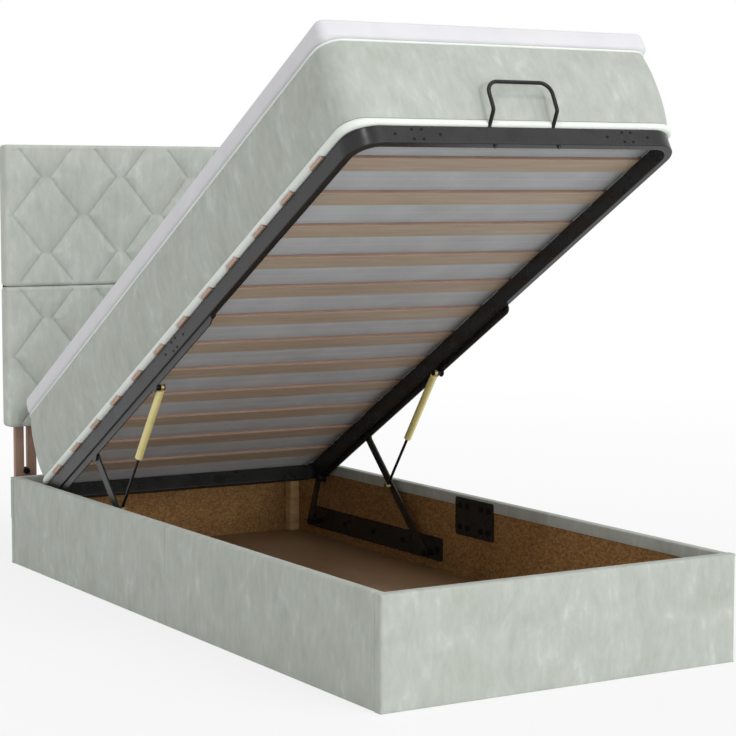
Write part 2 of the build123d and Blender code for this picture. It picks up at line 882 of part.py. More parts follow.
for node, tube_y, y_range in (
    ("frame_foot_rail", foot_tube, (-frame_foot_u - overrun, -frame_foot_u + tube_width)),
    ("frame_head_rail", head_tube, (-frame_head_inset - tube_width, overrun)),
):
    with BuildPart(platform) as cross_tube:
        tube_ring()
        block(
            (-foot_splice_offset + splice_gap, foot_splice_offset - splice_gap),
            y_range,
            (frame_bottom_w, frame_top_w),
            mode=Mode.INTERSECT,
        )
        for side in sides.values():
            own = across(
                side, foot_splice_offset - spigot_length / 2, foot_splice_offset - splice_gap
            )
            spigot(own, tube_y, loose=False)
            spigot(
                across(
                    side, foot_splice_offset - splice_gap, foot_splice_offset + spigot_length
                ),
                tube_y,
                loose=True,
            )
        splice_shanks(mode=Mode.SUBTRACT)
        if node == "frame_foot_rail":
            with Locations(platform.location.inverse()):
                add(pull_handle.part, mode=Mode.SUBTRACT)
    keep(cross_tube.part, node)

for side_name, side in sides.items():
    for half_name, cut_away in (
        ("foot", (-side_splice_u - splice_gap, everywhere)),
        ("head", (-everywhere, -side_splice_u)),
    ):
        with BuildPart(platform) as side_tube:
            tube_ring()
            block(
                across(side, -everywhere, foot_splice_offset),
                (-everywhere, everywhere),
                (frame_bottom_w - overrun, frame_top_w + overrun),
                mode=Mode.SUBTRACT,
            )
            block(
                (-everywhere, everywhere),
                cut_away,
                (frame_bottom_w - overrun, frame_top_w + overrun),
                mode=Mode.SUBTRACT,
            )
            if half_name == "foot":
                tube_x = across(side, frame_half - tube_width + tube_wall, frame_half - tube_wall)
                own_end = -side_splice_u - splice_gap
                spigot(tube_x, (own_end - spigot_length / 2, own_end), loose=False)
                spigot(tube_x, (own_end, -side_splice_u + spigot_length), loose=True)
            splice_shanks(mode=Mode.SUBTRACT)
            rail_bolt_shanks(mode=Mode.SUBTRACT)
            slat_rivet_shanks(mode=Mode.SUBTRACT)
        keep(side_tube.part, f"frame_side_{side_name}_{half_name}")

with BuildPart(platform) as frame_fasteners:
    splice_shanks()
    splice_shanks(head=splice_screw_head)
    rail_bolt_shanks()
    for side in sides.values():
        for share in rail_bolt_shares:
            y = -(rail_head_u + (rail_foot_u - rail_head_u) * share)
            w = frame_bottom_w - rail_thickness - rail_bolt_head / 2
            with Locations((side * rail_bolt_x, y, w)):
                Cylinder(rail_bolt_head_radius, rail_bolt_head)
    slat_rivet_shanks()
keep(frame_fasteners.part, "frame_fasteners")

# Slats across the frame
with BuildPart(platform) as slats:
    for number in range(slat_count):
        y = -(slat_first_u + slat_pitch * number)
        block(
            (-slat_length / 2, slat_length / 2),
            (y - slat_width / 2, y + slat_width / 2),
            (frame_top_w, slat_top_w),
        )
    fillet(slats.edges().filter_by(Axis.X), slat_edge_radius)
    slat_rivet_shanks(mode=Mode.SUBTRACT)
keep(slats.part, "slats")

# Lift rails: angle sections under the side tubes, with a lug at each moving pivot
along_platform = Axis(origin=(0, 0, 0), direction=platform.y_dir)
up_platform = Axis(origin=(0, 0, 0), direction=platform.z_dir)
for side_name, side in sides.items():
    with BuildPart(platform) as lift_rail:
        y_range = (-rail_foot_u, -rail_head_u)
        web = across(side, web_face, frame_half - rail_inset)
        block(web, y_range, (rail_bottom_w, frame_bottom_w))
        foot_corners = lift_rail.edges().filter_by(Axis.X).sort_by(along_platform)[:2]
        fillet(foot_corners.sort_by(up_platform)[0], rail_foot_corner)
        for pivot_u in (arm_pivot_u, link_pivot_u, spring_pivot_u):
            rod_across(web, -pivot_u, pivot_w, rail_lug_radius)
        block(
            across(side, frame_half - tube_width, frame_half - rail_inset),
            y_range,
            (frame_bottom_w - rail_thickness, frame_bottom_w),
        )
        rail_bolt_shanks(mode=Mode.SUBTRACT)
    keep(lift_rail.part, f"lift_rail_{side_name}")

with BuildPart() as platform_pivot_pins:
    for side in sides.values():
        pivot_pin(
            side, *arm_top, web_face, arm_plane, arm_thickness, pivot_radius, pivot_head_radius
        )
        pivot_pin(
            side,
            *spring_top,
            web_face,
            spring_plane,
            spring_eye_width,
            spring_pin_radius,
            spring_eye_radius,
        )
        collar = across(side, link_plane + arm_thickness / 2 + slip, web_face)
        rod_across(collar, *link_top, pivot_head_radius)
keep(platform_pivot_pins.part, "platform_pivot_pins")

# Mattress: core, quilted velvet border, piping at both edges, and the topper
mattress_centre_y = -mattress_length / 2


def mattress_outline(grow, w):
    """The mattress's outline at one height, larger all round by grow."""
    with BuildSketch(platform.offset(w)) as outline:
        with Locations((0, mattress_centre_y)):
            RectangleRounded(
                mattress_width + 2 * grow, mattress_length + 2 * grow, mattress_corner + grow
            )
    return outline.sketch


# The body, which steps in behind the bottom piping
border_bottom = slat_top_w + piping_height
border_top = mattress_top_w - 2 * top_cord_radius
piping_inset = piping_height - piping_bulge + slip
with BuildPart() as mattress_core:
    extrude(mattress_outline(-piping_inset, slat_top_w), amount=piping_height)
    extrude(mattress_outline(-border_thickness, border_bottom), amount=mattress_top_w - border_bottom)
keep(mattress_core.part, "mattress_core")

with BuildPart() as mattress_border:
    loft(
        [
            mattress_outline(0, border_bottom),
            mattress_outline(border_bulge, (border_bottom + border_top) / 2),
            mattress_outline(0, border_top),
        ]
    )
    extrude(
        mattress_outline(-border_thickness, border_bottom - overrun),
        amount=border_top - border_bottom + 2 * overrun,
        mode=Mode.SUBTRACT,
    )
keep(mattress_border.part, "mattress_border")


def edge_cord(inset, w, radius):
    """A round cord that runs once round the mattress."""
    half = mattress_width / 2 - inset
    with BuildSketch(platform.offset(w)) as line:
        with Locations((0, mattress_centre_y)):
            RectangleRounded(2 * half, mattress_length - 2 * inset, mattress_corner - inset)
    path = line.sketch.faces()[0].outer_wire()
    with BuildSketch(Plane(origin=path @ 0, z_dir=path % 0)) as section:
        Circle(radius)
    sweep(section.sketch, path=path)


piping_radius = piping_height / 2
with BuildPart() as mattress_piping:
    edge_cord(piping_radius - piping_bulge, slat_top_w + piping_radius, piping_radius)
    edge_cord(top_cord_radius, mattress_top_w - top_cord_radius, top_cord_radius)
keep(mattress_piping.part, "mattress_piping")

with BuildPart() as topper:
    with BuildSketch(platform.offset(mattress_top_w)):
        with Locations((0, -topper_head_inset - topper_length / 2)):
            RectangleRounded(topper_width, topper_length, topper_corner)
    extrude(amount=topper_thickness)
    top_face = topper.faces().sort_by(Axis(origin=(0, 0, 0), direction=platform.z_dir))[-1]
    fillet(top_face.edges(), topper_edge_radius)
keep(topper.part, "topper")


def bar(plane_x, thickness, width, start, end, holes):
    """A flat steel bar with round ends between two (y, z) points."""
    centre = along(start, end, 0.5)
    length = hypot(end[0] - start[0], end[1] - start[1])
    with BuildSketch(Plane.YZ.offset(plane_x - thickness / 2)) as outline:
        with Locations(centre):
            SlotCenterToCenter(length, width, rotation=direction(start, end))
        for point, radius in holes:
            with Locations(point):
                Circle(radius, mode=Mode.SUBTRACT)
    extrude(outline.sketch, amount=thickness)


# Front arms, rear links and gas springs
bore = pivot_radius + running_clearance
for side_name, side in sides.items():
    with BuildPart() as lift_arm:
        bar(
            side * arm_plane,
            arm_thickness,
            arm_width,
            arm_base,
            arm_top,
            ((arm_base, bore), (arm_top, bore), (spring_foot, spring_pin_radius)),
        )
    keep(lift_arm.part, f"lift_arm_{side_name}")

    with BuildPart() as rear_link:
        bar(
            side * link_plane,
            arm_thickness,
            link_width,
            link_base,
            link_top,
            ((link_base, bore), (link_top, pivot_radius)),
        )
    keep(rear_link.part, f"rear_link_{side_name}")

arm_inner = arm_plane - arm_thickness / 2
arm_outer = arm_plane + arm_thickness / 2
link_inner = link_plane - arm_thickness / 2
with BuildPart() as arm_spring_bolts:
    for side in sides.values():
        rod_across(across(side, arm_inner, arm_outer), *spring_foot, spring_pin_radius)
        rod_across(across(side, arm_outer, arm_outer + bolt_head), *spring_foot, spring_eye_radius)
keep(arm_spring_bolts.part, "arm_spring_bolts")

with BuildPart() as link_top_pins:
    for side in sides.values():
        rod_across(across(side, link_inner, link_plane + arm_thickness / 2), *link_top, pivot_radius)
        rod_across(across(side, link_inner - pivot_head, link_inner), *link_top, pivot_head_radius)
keep(link_top_pins.part, "link_top_pins")

spring_line = Vector(0, spring_foot[0] - spring_top[0], spring_foot[1] - spring_top[1]).normalized()


def spring_rod(side, start, end, radius, mode=Mode.ADD):
    """A round length on a gas spring's axis, measured from its top pivot."""
    top = Plane(origin=(side * spring_plane, *spring_top), x_dir=(1, 0, 0), z_dir=spring_line)
    with BuildSketch(top.offset(start)) as section:
        Circle(radius)
    extrude(section.sketch, amount=end - start, mode=mode)


def spring_eye(side, point, neck, hole):
    """An eye at one end of a gas spring, with the neck that it is screwed on by."""
    width = across(side, spring_plane - spring_eye_width / 2, spring_plane + spring_eye_width / 2)
    spring_rod(side, *neck, spring_neck_radius)
    rod_across(width, *point, spring_eye_radius)
    rod_across(width, *point, hole, mode=Mode.SUBTRACT)


piston_end = spring_tube_end - spring_tube_cap - spring_end_gap
rod_end = spring_open_length - spring_collar
for side_name, side in sides.items():
    with BuildPart() as gas_tube:
        spring_rod(side, spring_collar, spring_tube_end, spring_tube_radius)
        fillet(gas_tube.edges(), spring_end_gap)
        spring_rod(
            side,
            spring_collar + spring_tube_cap,
            spring_tube_end - spring_tube_cap,
            spring_tube_bore,
            mode=Mode.SUBTRACT,
        )
        spring_rod(
            side,
            spring_tube_end - spring_tube_cap - overrun,
            spring_tube_end + overrun,
            spring_rod_radius + running_clearance,
            mode=Mode.SUBTRACT,
        )
    keep(gas_tube.part, f"gas_tube_{side_name}")

    with BuildPart() as gas_rod:
        spring_rod(side, piston_end - piston_length, rod_end, spring_rod_radius)
        spring_rod(
            side, piston_end - piston_length, piston_end, spring_tube_bore - running_clearance
        )
    keep(gas_rod.part, f"gas_rod_{side_name}")

eye_neck = spring_eye_radius / 2
with BuildPart() as spring_top_eyes:
    for side in sides.values():
        spring_eye(
            side,
            spring_top,
            (eye_neck, spring_collar),
            spring_pin_radius + running_clearance,
        )
keep(spring_top_eyes.part, "spring_top_eyes")

eye_inner = spring_plane - spring_eye_width / 2
with BuildPart() as spring_foot_eyes:
    for side in sides.values():
        spring_eye(
            side,
            spring_foot,
            (rod_end, spring_open_length - eye_neck),
            spring_pin_radius,
        )
        rod_across(across(side, eye_inner - pivot_head, eye_inner), *spring_foot, spring_eye_radius)
        pin = across(side, eye_inner, arm_inner - slip)
        rod_across(pin, *spring_foot, spring_pin_radius)
keep(spring_foot_eyes.part, "spring_foot_eyes")

# Joint axes, ranges and ratios, for whoever writes them down
arm_turn = direction(arm_base, arm_top) - direction(arm_base, arm_top_closed)
link_turn = direction(link_base, link_top) - direction(link_base, link_top_closed)
spring_turn = (
    direction(spring_top_closed, spring_foot_closed)
    - direction(spring_top, spring_foot)
    - open_angle
)
print("axis of the arms at y, z", arm_base, "turn", arm_turn)
print("axis of the platform at y, z", arm_top, "turn", arm_turn + open_angle)
print("axis of the links at y, z", link_base, "turn", link_turn)
print("axis of the gas springs at y, z", spring_top, "turn", spring_turn)
print("gas spring slides along", (-spring_line.X, -spring_line.Y, -spring_line.Z), spring_stroke)
print("gas spring lengths", spring_open_length, spring_closed_length)
print("link top", link_top, "spring foot", spring_foot)
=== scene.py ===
from math import cos, exp, pi, radians, sin

import bmesh
import bpy
from mathutils import Matrix, Vector, noise


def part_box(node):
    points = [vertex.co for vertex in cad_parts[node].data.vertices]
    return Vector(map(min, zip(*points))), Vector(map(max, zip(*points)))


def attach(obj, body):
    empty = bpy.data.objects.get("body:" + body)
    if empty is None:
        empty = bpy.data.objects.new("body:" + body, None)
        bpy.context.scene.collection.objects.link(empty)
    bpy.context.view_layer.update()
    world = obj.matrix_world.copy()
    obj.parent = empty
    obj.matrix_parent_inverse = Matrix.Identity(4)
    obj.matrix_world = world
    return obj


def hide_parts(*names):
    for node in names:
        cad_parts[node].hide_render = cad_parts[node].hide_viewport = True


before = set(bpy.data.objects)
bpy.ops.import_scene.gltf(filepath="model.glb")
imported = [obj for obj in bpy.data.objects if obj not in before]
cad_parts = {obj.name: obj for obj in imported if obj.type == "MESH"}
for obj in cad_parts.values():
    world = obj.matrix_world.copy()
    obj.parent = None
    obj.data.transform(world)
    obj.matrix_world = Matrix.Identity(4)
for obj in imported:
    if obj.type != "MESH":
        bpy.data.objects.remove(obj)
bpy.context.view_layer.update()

# Ottoman bed, standing open. Metres, +Z up, +Y towards the headboard.
# The sleeping platform has its own tilted space: x across, y minus the distance
# "u" from the mattress's head end, z the height "w" above its bottom piping.
platform_origin = Vector((0.0, 0.866, 0.2485))
platform_slope = radians(-29.64)
platform = Matrix.Translation(platform_origin) @ Matrix.Rotation(platform_slope, 4, "X")

box_rim = 0.250
flap_drop = 0.030

mattress_half = 0.440
mattress_length = 1.981
mattress_top = 0.195
mattress_corner = 0.050
slat_top = -0.014
slat_first = 0.136
slat_foot_gap = 0.160
slat_count = 12
slat_half = 0.028
slat_pitch = (mattress_length - slat_first - slat_foot_gap) / (slat_count - 1)


# Camera, lights and floor
camera_data = bpy.data.cameras.new("camera")
camera_data.lens = 102.94
camera_data.sensor_width = 36.0
camera = bpy.data.objects.new("camera", camera_data)
camera.location = (-2.679, -4.684, 1.083)
camera.rotation_euler = (radians(90 - 4.93), 0.0, radians(-30.91))
bpy.context.scene.collection.objects.link(camera)
bpy.context.scene.camera = camera
bpy.context.scene.view_settings.view_transform = "Standard"


def colour(red, green, blue):
    """A colour as it looks on screen, 0 to 255, in the renderer's linear scale."""
    linear = [((part / 255 + 0.055) / 1.055) ** 2.4 for part in (red, green, blue)]
    return (*linear, 1.0)


def add(tree, kind, inputs, **settings):
    """A shader node with its settings, and its inputs as numbers or linked outputs."""
    node = tree.nodes.new("ShaderNode" + kind)
    for name, value in settings.items():
        setattr(node, name, value)
    for name, value in inputs.items():
        if isinstance(value, bpy.types.NodeSocket):
            tree.links.new(value, node.inputs[name])
        else:
            node.inputs[name].default_value = value
    return node.outputs[0]


def lamp(name, towards, strength, spread):
    """A soft distant light that shines from the given direction."""
    data = bpy.data.lights.new(name, "SUN")
    data.energy = strength
    data.angle = radians(spread)
    light = bpy.data.objects.new(name, data)
    light.rotation_euler = Vector(towards).to_track_quat("Z", "Y").to_euler()
    bpy.context.scene.collection.objects.link(light)


lamp("key_lamp", (0.36, -0.80, 0.58), 0.85, 45)
lamp("low_lamp", (0.08, -0.99, 0.06), 1.02, 18)
lamp("corner_lamp", (-0.48, -0.42, 0.76), 0.5, 5)


def seen_directly(tree):
    """1 where the camera sees a surface straight, in a mirror or through glass."""
    path = tree.nodes.new("ShaderNodeLightPath")
    mirrored = add(
        tree,
        "Math",
        {0: path.outputs["Is Camera Ray"], 1: path.outputs["Is Glossy Ray"]},
        operation="MAXIMUM",
    )
    return add(
        tree, "Math", {0: mirrored, 1: path.outputs["Is Transmission Ray"]}, operation="MAXIMUM"
    )


world = bpy.data.worlds.new("studio")
bpy.context.scene.world = world
world.use_nodes = True
world_tree = world.node_tree
world_level = add(
    world_tree,
    "MapRange",
    {"Value": seen_directly(world_tree), "To Min": 0.64, "To Max": 1.0},
)
world_tree.links.new(world_level, world_tree.nodes["Background"].inputs["Strength"])
world_tree.nodes["Background"].inputs["Color"].default_value = (1.0, 1.0, 1.0, 1.0)

floor_finish = bpy.data.materials.new("pale_floor")
floor_finish.use_nodes = True
floor_tree = floor_finish.node_tree
floor_paint = floor_tree.nodes["Principled BSDF"]
floor_paint.inputs["Base Color"].default_value = (0.86, 0.86, 0.86, 1.0)
floor_paint.inputs["Roughness"].default_value = 0.9
floor_glow = add(floor_tree, "Emission", {"Color": (1.0, 1.0, 1.0, 1.0), "Strength": 1.0})
add(
    floor_tree,
    "VectorMath",
    {0: floor_tree.nodes.new("ShaderNodeTexCoord").outputs["Object"]},
    operation="LENGTH",
)
reach_value = floor_tree.nodes["Vector Math"].outputs["Value"]
floor_white = add(
    floor_tree,
    "MapRange",
    {"Value": reach_value, "From Min": 1.5, "From Max": 6.0, "To Min": 0.72, "To Max": 1.0},
)
floor_share = add(
    floor_tree, "Math", {0: seen_directly(floor_tree), 1: floor_white}, operation="MULTIPLY"
)
floor_mix = add(
    floor_tree, "MixShader", {0: floor_share, 1: floor_paint.outputs[0], 2: floor_glow}
)
floor_tree.links.new(floor_mix, floor_tree.nodes["Material Output"].inputs["Surface"])
floor_mesh = bpy.data.meshes.new("studio_floor")
floor_shape = bmesh.new()
bmesh.ops.create_grid(floor_shape, x_segments=1, y_segments=1, size=60.0)
floor_shape.to_mesh(floor_mesh)
floor_shape.free()
floor_mesh.materials.append(floor_finish)
studio_floor = bpy.data.objects.new("studio_floor", floor_mesh)
bpy.context.scene.collection.objects.link(studio_floor)


# Finishes
def finish(name, roughness, metallic=0.0, specular=0.5, sheen=0.0, coat=0.0):
    """A new material with the settings that are the same all over it."""
    material = bpy.data.materials.new(name)
    material.use_nodes = True
    tree = material.node_tree
    shader = tree.nodes["Principled BSDF"]
    shader.inputs["Roughness"].default_value = roughness
    shader.inputs["Metallic"].default_value = metallic
    shader.inputs["Specular IOR Level"].default_value = specular
    shader.inputs["Sheen Weight"].default_value = sheen
    shader.inputs["Sheen Roughness"].default_value = 0.4
    shader.inputs["Coat Weight"].default_value = coat
    return material, tree, shader


def grain_space(tree, stretch, tilted=False):
    """Object coordinates drawn out by stretch, and turned with the platform if tilted."""
    place = tree.nodes.new("ShaderNodeTexCoord").outputs["Object"]
    inputs = {"Vector": place, "Scale": stretch}
    if tilted:
        inputs["Location"] = platform_origin
        inputs["Rotation"] = (platform_slope, 0.0, 0.0)
    return add(tree, "Mapping", inputs, vector_type="TEXTURE")


def clouds(tree, space, scale, detail=3.0, roughness=0.55, distortion=0.0):
    return add(
        tree,
        "TexNoise",
        {
            "Vector": space,
            "Scale": scale,
            "Detail": detail,
            "Roughness": roughness,
            "Distortion": distortion,
        },
    )


def sums(tree, *parts):
    """Adds outputs together, each times its own share."""
    total = None
    for output, share in parts:
        part = {0: output, 1: share, 2: total if total else 0.0}
        total = add(tree, "Math", part, operation="MULTIPLY_ADD")
    return total


def shades(tree, factor, *stops):
    """Colours along a band from 0 to 1."""
    node = tree.nodes.new("ShaderNodeValToRGB")
    band = node.color_ramp.elements
    band[0].position, band[0].color = stops[0]
    band[1].position, band[1].color = stops[-1]
    for position, tint in stops[1:-1]:
        band.new(position).color = tint
    tree.links.new(factor, node.inputs["Fac"])
    return node.outputs["Color"]


def blended(tree, factor, low, high, kind="MIX"):
    """Mixes two colours, given as colours or outputs."""
    node = tree.nodes.new("ShaderNodeMix")
    node.data_type = "RGBA"
    node.blend_type = kind
    for index, value in ((0, factor), (6, low), (7, high)):
        if isinstance(value, bpy.types.NodeSocket):
            tree.links.new(value, node.inputs[index])
        else:
            node.inputs[index].default_value = value
    return node.outputs[2]


def dress(tree, shader, tint, height=None, strength=0.3, depth=0.001):
    """Links a finish's colour, and the height that its bump follows."""
    tree.links.new(tint, shader.inputs["Base Color"])
    if height:
        normal = add(tree, "Bump", {"Height": height, "Strength": strength, "Distance": depth})
        tree.links.new(normal, shader.inputs["Normal"])


def velvet(name, tilted, painted_light_lift=0):
    """Short suede-like pile, brushed this way and that, with small light flecks. The last argument
    raises every tone, painting light onto a copy of the velvet that lies in shade.
    """
    material, tree, shader = finish(name, 0.86, specular=0.12, sheen=0.2)
    brushed = clouds(tree, grain_space(tree, (1, 1, 1.4), tilted), 13, 6, 0.62, 0.7)
    streaks = clouds(tree, grain_space(tree, (1, 1, 2.8), tilted), 55, 4, 0.6, 0.4)
    pile = clouds(tree, grain_space(tree, (1, 1, 1), tilted), 1500, 2)
    worn = sums(tree, (brushed, 0.52), (streaks, 0.36), (pile, 0.12))
    # painted light: every tone rises by the lift given, to brighten a copy of this velvet that lies
    # in shade
    tint = shades(
        tree,
        worn,
        (0.36, colour(164 + painted_light_lift, 170 + painted_light_lift, 161 + painted_light_lift)),
        (0.47, colour(173 + painted_light_lift, 178 + painted_light_lift, 170 + painted_light_lift)),
        (0.56, colour(179 + painted_light_lift, 184 + painted_light_lift, 177 + painted_light_lift)),
        (0.64, colour(191 + painted_light_lift, 196 + painted_light_lift, 189 + painted_light_lift)),
    )
    relief = sums(tree, (brushed, 0.35), (streaks, 0.25), (pile, 0.4))
    dress(tree, shader, tint, relief, 0.2, 0.0015)
    return material


def cloth(name, tint, dark, roughness, thread, tilted=False, weave=0.0):
    """Fine cloth, slightly uneven; weave is the share of its threads in the relief."""
    material, tree, shader = finish(name, roughness, specular=0.2, sheen=0.15)
    space = grain_space(tree, (1, 1, 1), tilted)
    warp = add(
        tree,
        "TexWave",
        {"Vector": space, "Scale": 0.05 / thread, "Distortion": 0.4},
        bands_direction="DIAGONAL",
    )
    soft = clouds(tree, space, 9, 4)
    fuzz = clouds(tree, space, 1 / thread, 2)
    level = sums(tree, (warp, 0.25 * weave), (soft, 0.6), (fuzz, 0.4 - 0.25 * weave))
    relief = sums(tree, (warp, weave), (fuzz, 1 - weave))
    dress(tree, shader, shades(tree, level, (0.3, dark), (0.6, tint)), relief, 0.2, thread / 2)
    return material


def ticking(name):
    """Pale mattress ticking with thin lighter stripes woven across it."""
    material, tree, shader = finish(name, 0.8, specular=0.2, sheen=0.1)
    space = grain_space(tree, (1, 1, 1), True)
    parts = tree.nodes.new("ShaderNodeSeparateXYZ")
    tree.links.new(space, parts.inputs[0])
    stripe_gap = 0.031
    place = add(tree, "Math", {0: parts.outputs["Y"], 1: stripe_gap, 2: 0.0}, operation="WRAP")
    off_line = add(tree, "Math", {0: place, 1: stripe_gap / 2}, operation="SUBTRACT")
    distance = add(tree, "Math", {0: off_line}, operation="ABSOLUTE")
    line = add(
        tree,
        "MapRange",
        {"Value": distance, "From Min": 0.0006, "From Max": 0.0022, "To Min": 1.0, "To Max": 0.0},
    )
    soft = clouds(tree, space, 9, 3)
    fuzz = clouds(tree, grain_space(tree, (6, 1, 1), True), 900, 2)
    ground = shades(
        tree,
        sums(tree, (soft, 0.7), (fuzz, 0.3)),
        (0.35, colour(164, 166, 168)),
        (0.62, colour(176, 178, 180)),
    )
    faint = add(tree, "Math", {0: line, 1: 0.6}, operation="MULTIPLY")
    tint = blended(tree, faint, ground, colour(184, 188, 192))
    dress(tree, shader, tint, sums(tree, (fuzz, 0.5), (line, 0.6)), 0.3, 0.0006)
    return material


def timber(name, tones, stretch, scale=70, roughness=0.6, tilted=False, specular=0.35):
    """Wood with its grain drawn out by stretch."""
    material, tree, shader = finish(name, roughness, specular=specular)
    grain = clouds(tree, grain_space(tree, stretch, tilted), scale, 5, 0.6, 0.4)
    broad = clouds(tree, grain_space(tree, stretch, tilted), scale / 7, 3, 0.5, 0.8)
    pores = clouds(tree, grain_space(tree, stretch, tilted), scale * 9, 2)
    level = sums(tree, (grain, 0.5), (broad, 0.35), (pores, 0.15))
    low, middle, high = tones
    tint = shades(
        tree, level, (0.36, colour(*low)), (0.5, colour(*middle)), (0.63, colour(*high))
    )
    dress(tree, shader, tint, sums(tree, (grain, 0.6), (pores, 0.4)), 0.2, 0.0005)
    return material


def pressed_board(name, tones, chip, roughness=0.7):
    """Board pressed from chips of that size, in several tones."""
    material, tree, shader = finish(name, roughness, specular=0.3)
    space = grain_space(tree, (1, 1.6, 1))
    chips = tree.nodes.new("ShaderNodeTexVoronoi")
    chips.inputs["Scale"].default_value = 1.0 / chip
    tree.links.new(space, chips.inputs["Vector"])
    lot = tree.nodes.new("ShaderNodeSeparateColor")
    tree.links.new(chips.outputs["Color"], lot.inputs[0])
    soft = clouds(tree, space, 10, 4)
    dust = clouds(tree, space, 3 / chip, 3)
    level = sums(tree, (lot.outputs[0], 0.35), (soft, 0.35), (dust, 0.30))
    low, middle, high = tones
    tint = shades(
        tree, level, (0.25, colour(*low)), (0.5, colour(*middle)), (0.78, colour(*high))
    )
    dress(tree, shader, tint, sums(tree, (dust, 0.6), (lot.outputs[0], 0.4)), 0.25, 0.0006)
    return material


def enamel(name, low, high, roughness, metallic, speck, coat=0.0, specular=0.5):
    """Painted or plated metal, a little uneven at the scale of a speck."""
    material, tree, shader = finish(name, roughness, metallic, specular, coat=coat)
    space = grain_space(tree, (1, 1, 1))
    fine = clouds(tree, space, 1 / speck, 2)
    broad = clouds(tree, space, 18, 4)
    level = sums(tree, (fine, 0.4), (broad, 0.6))
    tint = shades(tree, level, (0.35, colour(*low)), (0.65, colour(*high)))
    dress(tree, shader, tint, fine, 0.12, speck / 2)
    rubbed = add(
        tree,
        "MapRange",
        {
            "Value": broad,
            "From Min": 0.3,
            "From Max": 0.7,
            "To Min": roughness - 0.06,
            "To Max": roughness + 0.08,
        },
    )
    tree.links.new(rubbed, shader.inputs["Roughness"])
    return material


box_velvet = velvet("box_velvet", False)
border_velvet = velvet("border_velvet", True)
# painted light: the headboard is covered in the box's velvet, drawn 8 levels lighter to brighten it
# where the open mattress shades it
headboard_velvet_painted_lighter = velvet("headboard_velvet_painted_lighter", False, 8)
topper_cloth = cloth(
    "topper_cloth", colour(216, 215, 218), colour(208, 207, 211), 0.8, 0.0006, True
)
piping_cloth = cloth(
    "piping_cloth", colour(232, 236, 231), colour(216, 221, 215), 0.8, 0.0006, True, 0.3
)
lining_cloth = cloth(
    "lining_cloth", colour(52, 52, 55), colour(34, 34, 36), 0.85, 0.0009, weave=0.6
)
stitch_thread = cloth(
    "stitch_thread", colour(160, 167, 159), colour(132, 139, 131), 0.7, 0.0006, weave=0.6
)
mattress_ticking = ticking("mattress_ticking")
chip_board = pressed_board(
    "chip_board", ((108, 76, 42), (142, 104, 60), (172, 134, 84)), 0.0045
)
hard_board = pressed_board(
    "hard_board", ((104, 78, 52), (126, 97, 66), (144, 114, 82)), 0.0012, 0.5
)
slat_face = timber(
    "slat_face", ((158, 142, 124), (168, 151, 132), (178, 162, 143)), (14, 1, 1), 90, 0.6, True
)
slat_edge = timber(
    "slat_edge", ((140, 112, 96), (152, 123, 107), (164, 135, 119)), (14, 1, 1), 120, 0.6, True
)
slat_end = timber(
    "slat_end", ((184, 148, 130), (200, 164, 146), (212, 178, 160)), (1, 1, 1), 240, 0.6, True
)
pine = timber("pine", ((186, 150, 102), (206, 172, 124), (220, 190, 146)), (3, 7, 1), 60)
post_wood = timber("post_wood", ((150, 118, 102), (168, 134, 118), (184, 152, 134)), (1, 1, 14), 70)
powder_paint = enamel("powder_paint", (30, 30, 30), (39, 39, 39), 0.28, 0.0, 0.0008, specular=0.28)
dark_zinc = enamel("dark_zinc", (10, 10, 11), (18, 18, 19), 0.5, 0.0, 0.0006, specular=0.15)
spring_paint = enamel("spring_paint", (209, 197, 128), (226, 214, 150), 0.32, 0.1, 0.0007, 0.3)
rod_finish = enamel("rod_finish", (26, 26, 28), (44, 44, 46), 0.22, 0.6, 0.0004)
brass = enamel("brass", (170, 150, 84), (196, 178, 112), 0.34, 0.6, 0.0005)
# The springs' foot eyes take this darker brass, their top eyes the brighter one.
darker_brass = enamel("darker_brass", (96, 88, 50), (128, 118, 72), 0.4, 0.6, 0.0005)
handle_paint = enamel("handle_paint", (9, 9, 10), (16, 16, 17), 0.3, 0.0, 0.0007, specular=0.3)

node_finishes = {
    chip_board: (
        "side_panel_left_foot",
        "side_panel_left_head",
        "side_panel_right_foot",
        "side_panel_right_head",
        "foot_panel",
        "head_panel",
        "headboard_board_upper",
        "headboard_board_lower",
    ),
    hard_board: ("floor_board_foot", "floor_board_head"),
    pine: ("corner_blocks", "floor_battens", "headboard_laths"),
    post_wood: ("headboard_post_left", "headboard_post_right"),
    slat_face: ("slats",),
    powder_paint: (
        "joint_plates",
        "base_rail_left",
        "base_rail_right",
        "post_guides",
        "frame_foot_rail",
        "frame_head_rail",
        "frame_side_left_foot",
        "frame_side_left_head",
        "frame_side_right_foot",
        "frame_side_right_head",
        "lift_rail_left",
        "lift_rail_right",
        "lift_arm_left",
        "lift_arm_right",
        "rear_link_left",
        "rear_link_right",
    ),
    dark_zinc: (
        "base_pivot_pins",
        "panel_screws",
        "height_bolts",
        "post_screws",
        "frame_fasteners",
        "platform_pivot_pins",
        "arm_spring_bolts",
        "link_top_pins",
    ),
    spring_paint: ("gas_tube_left", "gas_tube_right"),
    rod_finish: ("gas_rod_left", "gas_rod_right"),
    brass: ("spring_top_eyes",),
    darker_brass: ("spring_foot_eyes",),
    handle_paint: ("pull_handle",),
}
for material, names in node_finishes.items():
    for name in names:
        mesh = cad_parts[name].data
        mesh.materials.clear()
        mesh.materials.append(material)

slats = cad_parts["slats"].data
slats.materials.append(slat_edge)
slats.materials.append(slat_end)
upright = platform.to_3x3() @ Vector((0, 0, 1))
for face in slats.polygons:
    if abs(face.normal.x) > 0.8:
        face.material_index = 2
    else:
        face.material_index = 0 if abs(face.normal.dot(upright)) > 0.8 else 1


